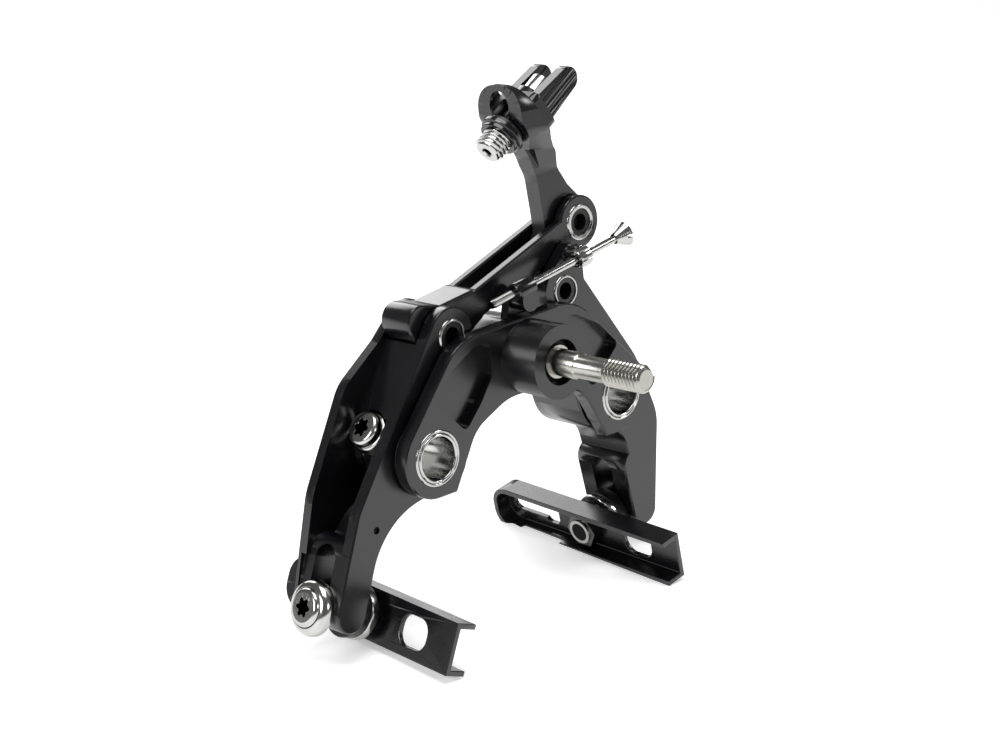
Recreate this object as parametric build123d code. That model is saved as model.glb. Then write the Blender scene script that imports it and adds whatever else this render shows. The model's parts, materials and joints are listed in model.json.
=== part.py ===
from build123d import *
import math
import os

# Linkage rim brake caliper with one central mounting stud, in millimetres.
# Everything is drawn about the pivot line: X runs from the left pivot to the right one,
# Y runs from the bridge's front face away from the bicycle frame, and Z points up.
# The last step moves it all, so that the origin is where the stud leaves the mounting face.

# Places on the bridge
PIVOT_HALF = 28.0
STUD_RISE = 15.6
BOSS_REACH = 10.0
BOSS_R = 8.1
BOSS_BACK = 12.5
BOSS_RECESS_R = 5.0
BOSS_RECESS_DEPTH = 3.2
EYE_R = 8.8
BRIDGE_PLATE = 3.7
POCKET_DEPTH = 2.3
ARCH_WALL = 2.6
ARCH_SPRING = 3.2
ARCH_RISE = 7.6
ARCH_TURN = 6.4
ARCH_SHOULDER = 3.0
ARCH_SIDE_BEND = 9.0
ARCH_TOP_BEND = 14.0
BRIDGE_LEFT_SHOULDER = (-14.5, 11.9, 11.5)
BRIDGE_RIGHT_SHOULDER = (10.5, 12.3, 12.2)
ARCH_DEPTH = 14.5
ARCH_HALF_SPAN = 15.5
EDGE = 0.35
POCKET_CORNERS = ((27.9, 11.8, 1.2), (23.3, 7.6, 2.4), (19.4, 3.6, 1.4), (14.6, 8.6, 6.0),
                  (10.9, 13.6, 2.0), (10.9, 21.4, 1.5), (15.0, 21.4, 3.0), (22.2, 17.6, 8.0))
LUG_ROOT_DROP = 5.0
LUG_ROOT_FLARE = 1.2
LUG_THICK = 2.2

# Mounting stud
STUD_R = 3.0
STUD_THREAD_LENGTH = 11.0
STUD_NECK_R = 2.6
STUD_NECK_LENGTH = 7.6
STUD_SHANK_R = 2.95
STUD_SHANK_LENGTH = 6.6
STUD_COLLAR_R = 3.75
STUD_COLLAR_LENGTH = 2.4
STUD_ROOT_R = 3.5
STUD_ROOT_LENGTH = 12.0

# Pivot sleeves and what runs on them
SLEEVE_BORE_R = 4.65
SLEEVE_R = 5.35
SLEEVE_PROUD = 0.45
BUSH_R = 6.1
BUSH_PROUD = 0.25
THRUST_WASHER = 0.5
THRUST_WASHER_R = 8.4
CAP_RING_R = 7.4
CAP_RING_THICK = 1.4
RUN_CLEAR = 0.05
FIT_CLEAR = 0.02
GAP = 0.3

# Arms: a near and a far plate with a wall between them
ARM_WIDTH = 15.3
ARM_PLATE = 2.8
HUB_R = 9.3
HUB_TUBE_R = 8.4
WALL = 2.6
WALL_RISE = 0.45
PANEL_SINK = 0.5
PANEL_THICK = 2.4
PANEL_LOW = 9.0
DIMPLE = (14.6, -12.5)
DIMPLE_R = 0.8
DIMPLE_DEPTH = 0.9

# Side views of the arms: circles are outward of the pivot, up from it and radius,
# and each bend of an edge is a corner outward and up, with the radius that rounds it
LEFT_PIN = (-10.3, 23.5)
LEFT_TOP_R = 6.1
LEFT_OUTER = ((18.9, -8.0, 12.0),)
LEFT_FAR_OUTER = ((-0.6, 22.6, 4.0), (9.6, 15.2, 9.0), (20.6, -5.6, 16.0))
LEFT_INNER = ((12.2, -11.5, 18.0),)
LEFT_FOOT = (23.0, -29.0)
LEFT_TILT = 21.0
RIGHT_PIN = (-11.4, 25.7)
RIGHT_TOP_R = 6.0
RIGHT_OUTER = ((10.3, 5.6, 20.0), (16.4, -9.5, 11.0))
RIGHT_FAR_OUTER = ((10.9, 6.4, 20.0), (17.3, -9.0, 11.0))
RIGHT_INNER = ((4.3, -11.0, 6.0), (6.6, -20.5, 14.0))
RIGHT_FOOT = (10.4, -31.4)
RIGHT_TILT = 12.0
FOOT_R = 3.75
FOOT_RUN = 12.0

# Link pins: black hollow pins in bright rings
PIN_R = 3.0
PIN_BORE_R = 1.9
PIN_RING_R = 3.65
PIN_RING_PROUD = 0.3
RING_SEAT = 1.1
PIN_WAIST_R = 2.0
BIG_RING_R = 4.1

# Link between the left arm and the upright lever
LINK_SIDE_GAP = 0.35
LINK_RAIL = 2.2
LINK_RAIL_HEIGHT = 6.4
LINK_HEAD_R = 6.0
LINK_EYE_R = 6.0
LINK_HEAD_LENGTH = 10.5
LINK_HEAD_TAPER = 0.6
LINK_LOBE = (5.3, 3.5)
LINK_LOBE_R = 3.7
LINK_ROOM = 12.0
LOBE_CLEAR = 0.45
OPEN_PIVOT_CLEAR = 0.65
OPEN_PIVOT_RISE = 1.15

# Upright lever
LINK_PIN = (25.5, 39.1)
LINK_SWEEP = 47.0
SWEEP_STEPS = 8
SWEEP_REACH = 24.0
UPRIGHT_EYE_R = 5.4
UPRIGHT_BOSS_R = 6.6
UPRIGHT_LOWER = 8.4
STEM_CLEAR = 0.3
UPRIGHT_UPPER = 6.4
HEAD_HOLE = (6.3, 66.5)
HEAD_TURN = 34.2
HEAD_HALF = 6.65
HEAD_CAP = 5.5
HEAD_CORNER_R = 5.4
HEAD_THICK = 5.4
KEYHOLE_R = 2.9
SLOT_HALF = 2.5
SLOT_RUN = 8.4
HEAD_BACK_RUN = 11.2
STOP_DOWN = 5.1
STEM_FRONT = ((7.3, 73.5), (7.7, 64.5), (11.4, 59.0), (13.6, 55.2), (15.6, 50.3), (16.6, 43.0), (17.4, 36.0))
STEM_TAPER_END = 52.0
STEM_BACK = ((25.0, 34.0), (30.6, 38.5), (28.9, 43.6), (24.8, 47.6), (22.0, 51.8), (20.9, 56.0), (18.2, 58.9))

# Cable stop and adjuster, measured along the cable
BARREL_R = 3.4
BARREL_LENGTH = 4.1
BARREL_NECK_R = 2.35
CABLE_HOLE_R = 0.95
LOCK_RING_R = 5.0
LOCK_RING_THICK = 2.2
STOP_WASHER_THICK = 1.0
SADDLE_THICK = 2.8
SADDLE_HALF = 5.7
SADDLE_TAIL = 5.6
SADDLE_TOP = 3.6
SADDLE_CORNER = 1.6
COLLAR_WALL = 0.9
COLLAR_RISE = 1.6
FERRULE_SINK = 1.0
EAR_THICK = 2.9
EAR_REACH = 14.6
EAR_R = 2.7
EAR_ROOT_R = 3.7
EAR_ROOT_DROP = 0.7
EAR_TIP_DROP = 1.0
EAR_EDGE = 0.55
FERRULE_R = 2.8
FERRULE_LENGTH = 7.4
FERRULE_WALL = 0.25
FERRULE_FLOOR = 1.6
FLUTE_R = 0.75
FLUTE_DEPTH = 0.55
FLUTE_PITCH = 1.7

# Pad holders and what clamps them
HOLDER_NEAR = 27.4
HOLDER_FAR = 27.2
HOLDER_HEIGHT = 11.2
HOLDER_DEPTH = 5.3
HOLDER_WALL = 1.2
HOLDER_PITCH = 3.5
HOLDER_END_SHARE = 0.42
HOLDER_WINDOW = (8.2, 6.9)
WINDOW_CORNER = 2.9
WINDOW_FROM_END = 12.1
LONG_HOLE = (14.6, 3.6)
LONG_HOLE_FROM_END = 10.4
LONG_HOLE_STEP = (4.4, 5.4)
HOLDER_NOTCH = (13.0, 2.0)
HOLDER_NOTCH_FROM_END = 14.0
PAD_BOLT_R = 2.95
PAD_SLOT_CLEAR = 0.2
PAD_SLOT_UP = 10.5
PAD_SLOT_DOWN = 1.3
PAD_TRAVEL = 4.0
DOME_R = 6.0
DOME_THICK = 2.7
DOME_SEAT = 1.2
PAD_HEAD_R = 4.2
PAD_HEAD_THICK = 2.3
SOCKET_R = 2.1
SOCKET_DEPTH = 1.8
CUP_THICK = 3.0
CUP_R = 5.8
RING_THICK = 1.9
RING_R = 6.1
BALL_THICK = 1.9
BALL_R = 4.6
NUT_R = 4.3
NUT_THICK = 2.6

# Cable anchor on the left arm
ANCHOR_TURN = 36.5
ANCHOR_HEAD_R = 3.9
ANCHOR_HEAD_THICK = 2.2
ANCHOR_R = 2.1
ANCHOR_DEPTH = 2.2
CLAMP_THICK = 1.9
CLAMP_R = 4.4
CLAMP_STEP = 0.7
CLAMP_GROOVE_R = 0.8

# Centring screw above the bridge
SCREW_Y = 1.5
SCREW_R = 0.85
SCREW_TURN = 9.8
SCREW_TIP = 9.6
SCREW_COLLAR = 18.5
SCREW_COLLAR_R = 2.3
SCREW_COLLAR_LENGTH = 3.5
SCREW_SLIT = (0.8, 1.2)
COLLAR_FLUTES = 8
COLLAR_FLUTE_R = 0.42
SCREW_HEAD = 29.2
SCREW_HEAD_R = 2.9
SCREW_HEAD_LENGTH = 3.4
BLOCK_PIN = (1.6, 27.5)
BLOCK_LENGTH = 5.4
BLOCK_R = 2.05
BLOCK_RISE = 2.5
BLOCK_BOSS_HALF = 1.9
BLOCK_BOSS_R = 2.45
BLOCK_PIN_R = 1.1
PIN_FLOOR = 1.2
GUIDE_PIN_R = 1.3
GUIDE_EAR_R = 2.9

# Return springs round the sleeves
SPRING_WIRE = 0.6
SPRING_R = 6.5
SPRING_TURNS = 1.5
SPRING_PITCH = 1.05
SPRING_END_CLEAR = 0.26

ARM_NEAR = BRIDGE_PLATE + THRUST_WASHER
ARM_FAR = ARM_NEAR + ARM_WIDTH
ARM_MID = ARM_NEAR + ARM_WIDTH / 2
INNER_NEAR = ARM_NEAR + ARM_PLATE
INNER_FAR = ARM_FAR - ARM_PLATE
LINK_NEAR = INNER_NEAR + LINK_SIDE_GAP
LINK_FAR = INNER_FAR - LINK_SIDE_GAP
HUB_TUBE_END = INNER_FAR - SPRING_PITCH * SPRING_TURNS - SPRING_WIRE - 2 * SPRING_END_CLEAR
UPRIGHT_STEM = (LINK_FAR - LINK_RAIL) - (LINK_NEAR + LINK_RAIL) - 2 * STEM_CLEAR
LEFT, RIGHT = -1, 1
TO_MOUNT = Pos(0, BOSS_REACH, -STUD_RISE)


def disc(x, z, r):
    """A circle in the outline plane."""
    return Pos(x, z) * Circle(r)


def strap(a, b):
    """The outline that wraps two circles, each given as x, z and radius."""
    ax, az, ar = a
    bx, bz, br = b
    span = math.hypot(bx - ax, bz - az)
    along = math.atan2(bz - az, bx - ax)
    lean = math.acos((ar - br) / span)
    corners = []
    for turn in (along + lean, along - lean):
        ux, uz = math.cos(turn), math.sin(turn)
        side = [(ax + ar * ux, az + ar * uz), (bx + br * ux, bz + br * uz)]
        corners += side if not corners else side[::-1]
    return make_face(Polyline(*corners, close=True)) + disc(*a) + disc(*b)


def tangent(circle, point, turn):
    """Where a line from a point touches a circle; turn says on which side."""
    x, z, r = circle
    reach = math.hypot(point[0] - x, point[1] - z)
    angle = math.atan2(point[1] - z, point[0] - x) + turn * math.acos(r / reach)
    return x + r * math.cos(angle), z + r * math.sin(angle)


def bent(corners):
    """A closed outline from corners that are each given as x, z and rounding radius."""
    points = [(x, z) for x, z, _ in corners]
    return make_face(FilletPolyline(*points, radius=[r for _, _, r in corners], close=True))


def slab(outline, near, far):
    """An outline in X and Z, thick from near to far along Y."""
    return Pos(0, near, 0) * extrude(Plane.XZ * outline, far - near, dir=(0, 1, 0))


def rod(x, z, r, near, far):
    """A round bar along Y."""
    return slab(disc(x, z, r), near, far)


def softened(body, ends=(0, -1), size=EDGE):
    """A plate with the outline edges of its near face (0), far face (-1) or both broken."""
    faces = body.faces().sort_by(Axis.Y)
    rims = [edge for end in ends for edge in faces[end].outer_wire().edges()]
    return chamfer(rims, size)


def turned(profile, place):
    """A turned part from half profile points (radius, height), standing on a plane."""
    half = make_face(Polyline(*[(r, h) for r, h in profile], close=True))
    return place * revolve(Plane.XZ * half, Axis.Z)


def side_pos(side, point):
    """X and Z of a point that is given outward and up from a pivot."""
    return side * (PIVOT_HALF + point[0]), point[1]


def write(name, body):
    """Save one named piece about the mounting face."""
    body = TO_MOUNT * body
    body.label = name
    export_step(body, f"parts/{name}.step")


def bridge():
    """The arch that carries both pivots, the stud boss and the centring lug."""
    body = softened(slab(bridge_outline(), 0, BRIDGE_PLATE))
    for side in (LEFT, RIGHT):
        body -= slab(pocket(side), -1, POCKET_DEPTH)
    body += slab(arch_band(), BRIDGE_PLATE - 1, ARCH_DEPTH)
    body += rod(0, STUD_RISE, BOSS_R, -BOSS_REACH, BOSS_BACK)
    body += lug()
    body -= rod(0, STUD_RISE, BOSS_RECESS_R, -BOSS_REACH - 1, -BOSS_REACH + BOSS_RECESS_DEPTH)
    body -= rod(0, STUD_RISE, STUD_ROOT_R + FIT_CLEAR, -BOSS_REACH,
                -BOSS_REACH + BOSS_RECESS_DEPTH + STUD_ROOT_LENGTH)
    for x in (-PIVOT_HALF, PIVOT_HALF):
        body -= rod(x, 0, BUSH_R + FIT_CLEAR, -1, BRIDGE_PLATE + 1)
    return body


def wrap(*circles):
    """The outline that wraps several circles, each given as x, z and radius."""
    return make_hull([disc(*c).edge() for c in circles])


def bridge_outline():
    """The arch's front view: a hull round the eyes and shoulders, open below."""
    eyes = [(side * PIVOT_HALF, 0, EYE_R) for side in (LEFT, RIGHT)]
    hull = wrap(*eyes, BRIDGE_LEFT_SHOULDER, BRIDGE_RIGHT_SHOULDER)
    return hull - (arch_opening() - disc(*eyes[0]) - disc(*eyes[1]))


def arch_opening():
    """The opening under the arch, between the eyes."""
    inner = PIVOT_HALF - EYE_R
    half = [(PIVOT_HALF, -2 * EYE_R, 0), (inner - ARCH_SHOULDER, ARCH_SPRING, ARCH_SIDE_BEND),
            (ARCH_TURN, ARCH_RISE, ARCH_TOP_BEND)]
    return bent([(-x, z, r) for x, z, r in half] + half[::-1])


def pocket(side):
    """The sunk field between an eye and the boss."""
    return bent([(side * x, z, r) for x, z, r in POCKET_CORNERS])


def arch_band():
    """The deep wall along the arch's underside, clear of both arms."""
    skin = Pos(0, ARCH_WALL) * arch_opening() - arch_opening()
    return skin & Pos(0, 10) * Rectangle(2 * ARCH_HALF_SPAN, 40)


def lug():
    """The ear on the crown that carries the centring block's pin."""
    x, z = BLOCK_PIN
    base = (x, z - LUG_ROOT_DROP, BLOCK_BOSS_R + LUG_ROOT_FLARE)
    near = SCREW_Y + BLOCK_BOSS_HALF + GAP
    ear = slab(strap((x, z, BLOCK_BOSS_R), base), near, near + LUG_THICK)
    return ear - rod(x, z, BLOCK_PIN_R + FIT_CLEAR, near - 1, near + LUG_THICK + 1)


def mounting_stud():
    """The stepped, threaded stud that the caliper hangs on."""
    seat = -BOSS_REACH + BOSS_RECESS_DEPTH
    down = -STUD_COLLAR_LENGTH - STUD_SHANK_LENGTH
    neck = down - STUD_NECK_LENGTH
    end = neck - STUD_THREAD_LENGTH
    taper = STUD_SHANK_R - STUD_NECK_R
    tip = 0.7
    profile = [(0, STUD_ROOT_LENGTH), (STUD_ROOT_R, STUD_ROOT_LENGTH), (STUD_ROOT_R, 0),
               (STUD_COLLAR_R, 0), (STUD_COLLAR_R, -STUD_COLLAR_LENGTH),
               (STUD_SHANK_R, -STUD_COLLAR_LENGTH), (STUD_SHANK_R, down),
               (STUD_NECK_R, down - taper), (STUD_NECK_R, neck), (STUD_R, neck),
               (STUD_R, end + tip), (STUD_R - tip, end), (0, end)]
    return turned(profile, Pos(0, seat, STUD_RISE) * Rot(-90, 0, 0))


def tube(x, z, r, bore, near, far):
    """A round tube along Y with slightly broken ends."""
    body = rod(x, z, r, near, far) - rod(x, z, bore, near - 1, far + 1)
    return chamfer(body.edges().filter_by(GeomType.CIRCLE), 0.2)


def arm_outline(side, top, foot, tilt, outer, inner):
    """The side view of an arm, from its top eye round the hub to the foot."""
    hub = (side * PIVOT_HALF, 0, HUB_R)
    outer = [(*side_pos(side, bend), bend[2]) for bend in outer]
    inner = [(*side_pos(side, bend), bend[2]) for bend in inner]
    edge = [(*tangent(top, outer[0], side), 0), *outer, (*tangent(foot, outer[-1], -side), 0)]
    back = [(*tangent(foot, inner[-1], side), 0), *inner[::-1], (*tangent(hub, inner[0], -side), 0)]
    middle = [(hub[0], hub[1], 0), (top[0], top[1], 0)]
    above = up_the_foot(side, foot, tilt, FOOT_RUN)
    return bent(edge + back + middle) + strap(top, hub) + wrap(above, foot)


def up_the_foot(side, foot, tilt, run):
    """The foot's circle moved up along the arm."""
    turn = math.radians(tilt)
    return foot[0] - side * run * math.sin(turn), foot[1] + run * math.cos(turn), foot[2]


def pad_lands(side, foot, tilt):
    """The room that the pad's washers need on both faces of the foot, over their travel."""
    reach = RING_R + GAP
    room = Box(2 * reach, 2 * reach + PAD_TRAVEL, HOLDER_NEAR)
    lift = side_up(side) * PAD_TRAVEL / 2
    cuts = [Pos(0, lift, way * (FOOT_R + HOLDER_NEAR / 2)) * room for way in (-1, 1)]
    return foot_frame(side, foot, tilt) * (cuts[0] + cuts[1])


def arm(side, pin, top_r, foot, tilt, edges):
    """One arm: two plates, a wall along the inner edge, the foot with its slot, and the hub."""
    near_edge, far_edge, inner_edge = edges
    px, pz = side_pos(side, pin)
    top = (px, pz, top_r)
    hub_x = side * PIVOT_HALF
    near_outline = arm_outline(side, top, foot, tilt, near_edge, inner_edge)
    far_outline = arm_outline(side, top, foot, tilt, far_edge, inner_edge)
    near_plate = softened(slab(near_outline, ARM_NEAR, INNER_NEAR), ends=(0,))
    far_plate = softened(slab(far_outline, INNER_FAR, ARM_FAR), ends=(-1,))
    shift = Pos(side * WALL, WALL * WALL_RISE)
    room = slab(link_room(side, top), INNER_NEAR, INNER_FAR)
    wall = slab(near_outline - shift * near_outline, INNER_NEAR, INNER_FAR)
    wall -= rod(hub_x, 0, HUB_TUBE_R, INNER_NEAR, INNER_FAR)
    above = up_the_foot(side, foot, tilt, FOOT_RUN)
    foot_block = slab(wrap(above, foot), INNER_NEAR, INNER_FAR)
    hub_tube = rod(hub_x, 0, HUB_TUBE_R, INNER_NEAR, HUB_TUBE_END)
    body = near_plate + far_plate + (wall - room) + foot_block + hub_tube
    body += slab(panel(near_outline, side, top, near_edge[0]), INNER_NEAR, INNER_FAR) - room
    body -= rod(hub_x, 0, SLEEVE_R + RUN_CLEAR, ARM_NEAR - 1, ARM_FAR + 1)
    body -= spring_room(side)
    body -= rod(px, pz, PIN_R + FIT_CLEAR, ARM_NEAR - 1, ARM_FAR + 1)
    body -= rod(px, pz, PIN_RING_R + FIT_CLEAR, ARM_NEAR - 1, ARM_NEAR + RING_SEAT)
    return body - foot_slot(side, foot, tilt) - pad_lands(side, foot, tilt)


def spring_room(side):
    """The ring-shaped room round the sleeve that the return spring lies in."""
    return rod(side * PIVOT_HALF, 0, SPRING_R + SPRING_WIRE / 2 + GAP, HUB_TUBE_END, INNER_FAR)


def link_room(side, top):
    """The space between the plates where the link or the upright swings."""
    x, z, _ = top
    lobe = (x + side * LINK_LOBE[0], z + LINK_LOBE[1], LINK_LOBE_R + LOBE_CLEAR)
    round_room = LINK_HEAD_R + LOBE_CLEAR
    inward = x - side * LINK_ROOM
    return (strap((x, z, round_room), lobe) + disc(x, z, UPRIGHT_BOSS_R + GAP)
            + strap((x, z, round_room), (inward, z, round_room))
            + strap((x, z, round_room), (x, z - OPEN_PIVOT_RISE, round_room)))


def panel(outline, side, top, bend):
    """The sunk outer panel between the plates, from below the top eye to the cable's anchor."""
    x, z = side_pos(side, bend)
    lean = math.atan2(top[1] - z, abs(x - top[0]))
    inward = (-side * math.sin(lean), -math.cos(lean))
    outer, inner = [Pos(d * inward[0], d * inward[1]) * outline
                    for d in (PANEL_SINK, PANEL_SINK + PANEL_THICK)]
    band = Pos(side * PIVOT_HALF, (top[1] + PANEL_LOW) / 2) * Rectangle(
        2 * PIVOT_HALF, top[1] - PANEL_LOW)
    outward = Pos(x, top[1]) * Rectangle(2 * abs(x - top[0]), 4 * PIVOT_HALF)
    return (outer - inner) & band & outward


def foot_circle(side, foot):
    """The round end of an arm's foot in X and Z."""
    return (*side_pos(side, foot), FOOT_R)


def foot_frame(side, foot, tilt):
    """A place at the foot: local Z points outward along the pad bolt, local X along Y."""
    turn = math.radians(tilt)
    outward = (side * math.cos(turn), 0, math.sin(turn))
    return Location(Plane(origin=(foot[0], ARM_MID, foot[1]), x_dir=(0, 1, 0), z_dir=outward))


def foot_slot(side, foot, tilt):
    """The long hole that sets the pad's height."""
    length = PAD_SLOT_UP + PAD_SLOT_DOWN
    middle = (PAD_SLOT_UP - PAD_SLOT_DOWN) / 2
    r = PAD_BOLT_R + PAD_SLOT_CLEAR
    outline = Pos(0, side_up(side) * middle) * Rot(0, 0, 90) * SlotCenterToCenter(length, 2 * r)
    cutter = Pos(0, 0, -20) * extrude(outline, 40)
    return foot_frame(side, foot, tilt) * cutter


def side_up(side):
    """Which way local Y of the foot's frame points: up the arm or down it."""
    return 1 if side == RIGHT else -1


def holder_frame(side, foot, tilt):
    """The foot's frame, with the pad's pitch about the bolt."""
    return foot_frame(side, foot, tilt) * Rot(0, 0, side * HOLDER_PITCH)


def pad_stack():
    """Heights along the pad bolt, outward from the foot's centre."""
    cup = -FOOT_R - CUP_THICK
    ring = cup - RING_THICK
    ball = ring - BALL_THICK
    return {"edge": FOOT_R, "cup": cup, "ring": ring, "ball": ball, "web": ball - HOLDER_WALL,
            "nut": ball - HOLDER_WALL - NUT_THICK, "seat": FOOT_R + DOME_SEAT}


def pad_holder(side, foot, tilt):
    """The channel that holds the pad, open towards the rim and at its near end."""
    z = pad_stack()
    half, w = HOLDER_HEIGHT / 2, HOLDER_WALL
    round_r = HOLDER_HEIGHT * HOLDER_END_SHARE
    blank = bent([(-HOLDER_NEAR, -half, 0), (-HOLDER_NEAR, half, 0), (HOLDER_FAR, half, round_r),
                  (HOLDER_FAR, -half, round_r)])
    core = bent([(-HOLDER_NEAR - 1, w - half, 0), (-HOLDER_NEAR - 1, half - w, 0),
                 (HOLDER_FAR - w, half - w, round_r - w), (HOLDER_FAR - w, w - half, round_r - w)])
    low = z["web"] + w - HOLDER_DEPTH
    body = Pos(0, 0, low) * extrude(blank, HOLDER_DEPTH)
    body -= Pos(0, 0, low - 1) * extrude(core, HOLDER_DEPTH - w + 1)
    body -= Pos(0, 0, low) * Cylinder(PAD_BOLT_R + 0.1, 4 * HOLDER_DEPTH)
    window = Pos(WINDOW_FROM_END - HOLDER_NEAR, 0) * RectangleRounded(*HOLDER_WINDOW, WINDOW_CORNER)
    long_hole = Pos(HOLDER_FAR - LONG_HOLE_FROM_END, 0) * SlotOverall(*LONG_HOLE)
    step_x = HOLDER_FAR - LONG_HOLE_FROM_END - (LONG_HOLE[0] - LONG_HOLE_STEP[0]) / 2
    long_hole += Pos(step_x, 0) * RectangleRounded(*LONG_HOLE_STEP, LONG_HOLE_STEP[0] / 3)
    body -= Pos(0, 0, low) * extrude(window + long_hole, 4 * HOLDER_DEPTH, both=True)
    run, deep = HOLDER_NOTCH
    notch = Pos(HOLDER_FAR - HOLDER_NOTCH_FROM_END, -side_up(side) * (half - w), low) * Box(run, w, 2 * deep)
    return holder_frame(side, foot, tilt) * (body - notch)


def pad_bolt(side, foot, tilt):
    """The pad's bolt: button head with a six-lobed socket, and a plain shank."""
    z = pad_stack()
    seat = z["seat"]
    shank = Pos(0, 0, z["nut"] - 0.6) * Cylinder(PAD_BOLT_R, seat - z["nut"] + 0.6,
                                               align=(Align.CENTER, Align.CENTER, Align.MIN))
    head = Pos(0, 0, seat) * button_head(PAD_HEAD_R, PAD_HEAD_THICK)
    return foot_frame(side, foot, tilt) * (shank + head)


def button_head(r, thick):
    """A low domed head with a six-lobed socket."""
    head = Cylinder(r, thick, align=(Align.CENTER, Align.CENTER, Align.MIN))
    head = fillet(head.edges().sort_by(Axis.Z)[-1], thick * 0.45)
    socket = Circle(SOCKET_R * 0.72)
    for lobe in range(6):
        socket += Rot(0, 0, 60 * lobe) * Pos(SOCKET_R * 0.74, 0) * Circle(SOCKET_R * 0.26)
    return head - Pos(0, 0, thick - SOCKET_DEPTH) * extrude(socket, SOCKET_DEPTH + 1)


def washer(low, high, r, bore, dome=0.0):
    """A washer between two heights along the bolt; dome rounds its upper edge."""
    body = Pos(0, 0, low) * Cylinder(r, high - low, align=(Align.CENTER, Align.CENTER, Align.MIN))
    if dome:
        body = fillet(body.edges().sort_by(Axis.Z)[-1], dome)
    else:
        body = chamfer(body.edges().filter_by(GeomType.CIRCLE), 0.2)
    return body - Cylinder(bore, 60)


def pad_washers(side, foot, tilt):
    """The dished and ball washers that let the pad line up with the rim."""
    z = pad_stack()
    bore = PAD_BOLT_R + 0.05
    place = foot_frame(side, foot, tilt)
    seat = Pos(0, 0, z["seat"]) * Cylinder(
        PAD_HEAD_R + 0.1, 3, align=(Align.CENTER, Align.CENTER, Align.MIN))
    dome = washer(z["edge"], z["edge"] + DOME_THICK, DOME_R, bore, DOME_THICK * 0.72) - seat
    cup = washer(z["cup"], -z["edge"], CUP_R, bore)
    ring = washer(z["ring"], z["cup"], RING_R, bore)
    ball = washer(z["ball"], z["ring"], BALL_R, bore)
    return place * dome, place * cup, place * ring, holder_frame(side, foot, tilt) * ball


def pad_nut(side, foot, tilt):
    """The thin hexagon nut inside the holder."""
    z = pad_stack()
    hexagon = extrude(RegularPolygon(NUT_R, 6), NUT_THICK)
    nut = Pos(0, 0, z["nut"]) * hexagon - Cylinder(PAD_BOLT_R + FIT_CLEAR, 60)
    return foot_frame(side, foot, tilt) * nut


def hollow_pin(x, z, near, far, waist):
    """A black pin with a blind bore in each end; a waist thins its middle."""
    body = rod(x, z, PIN_R, near, far)
    depth = (far - near) * 0.3
    body -= rod(x, z, PIN_BORE_R, near - 1, near + depth)
    body -= rod(x, z, PIN_BORE_R, far - depth, far + 1)
    if waist:
        low, high = waist
        body -= rod(x, z, PIN_R + 1, low, high) - rod(x, z, PIN_WAIST_R, low - 1, high + 1)
    return body


def pin_ring(x, z, r, near):
    """The bright ring round a pin's near end."""
    body = rod(x, z, r, near - PIN_RING_PROUD, near + RING_SEAT)
    body = chamfer(body.edges().sort_by(Axis.Y)[0], 0.25)
    return body - rod(x, z, PIN_R + FIT_CLEAR, near - 2, near + 3)


def link():
    """The link: a lobed solid head in the left arm's fork and two rails to the upright."""
    cx, cz = side_pos(LEFT, LEFT_PIN)
    ax, az = LINK_PIN
    turn = math.atan2(az - cz, ax - cx)
    ex, ez = cx + LINK_HEAD_LENGTH * math.cos(turn), cz + LINK_HEAD_LENGTH * math.sin(turn)
    half = LINK_RAIL_HEIGHT / 2
    eye = (cx, cz, LINK_HEAD_R)
    head = strap(eye, (ex, ez, half + LINK_HEAD_TAPER))
    head += strap(eye, (cx - LINK_LOBE[0], cz + LINK_LOBE[1], LINK_LOBE_R))
    rail = strap(eye, (ex, ez, half)) + strap((ex, ez, half), (ax, az, half))
    rail += disc(ax, az, LINK_EYE_R)
    near = softened(slab(rail, LINK_NEAR, LINK_NEAR + LINK_RAIL))
    far = softened(slab(rail, LINK_FAR - LINK_RAIL, LINK_FAR))
    body = near + far + softened(slab(head, LINK_NEAR + EDGE / 4, LINK_FAR - EDGE / 4))
    slot_r = PIN_WAIST_R + OPEN_PIVOT_CLEAR
    slot = Pos(cx, cz) * Rot(0, 0, 90) * SlotCenterToCenter(2 * OPEN_PIVOT_RISE, 2 * slot_r)
    body -= slab(slot, LINK_NEAR - 1, LINK_FAR + 1)
    body -= rod(ax, az, PIN_R + FIT_CLEAR, LINK_NEAR - 1, LINK_FAR + 1)
    body -= rod(ax, az, BIG_RING_R + FIT_CLEAR, LINK_NEAR - 1, LINK_NEAR + RING_SEAT)
    return body


def head_point(along, down, across=0.0):
    """A point of the upright's head: along the cable, down the slot and across."""
    turn = math.radians(HEAD_TURN)
    x = HEAD_HOLE[0] + along * math.cos(turn) + down * math.sin(turn)
    z = HEAD_HOLE[1] + along * math.sin(turn) - down * math.cos(turn)
    return x, ARM_MID + across, z


def head_frame(along=0.0, down=0.0):
    """A place on the head: local Z along the cable away from the wheel side, local X along Y."""
    turn = math.radians(HEAD_TURN)
    return Location(Plane(origin=head_point(along, down), x_dir=(0, 1, 0),
                          z_dir=(math.cos(turn), 0, math.sin(turn))))


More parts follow.
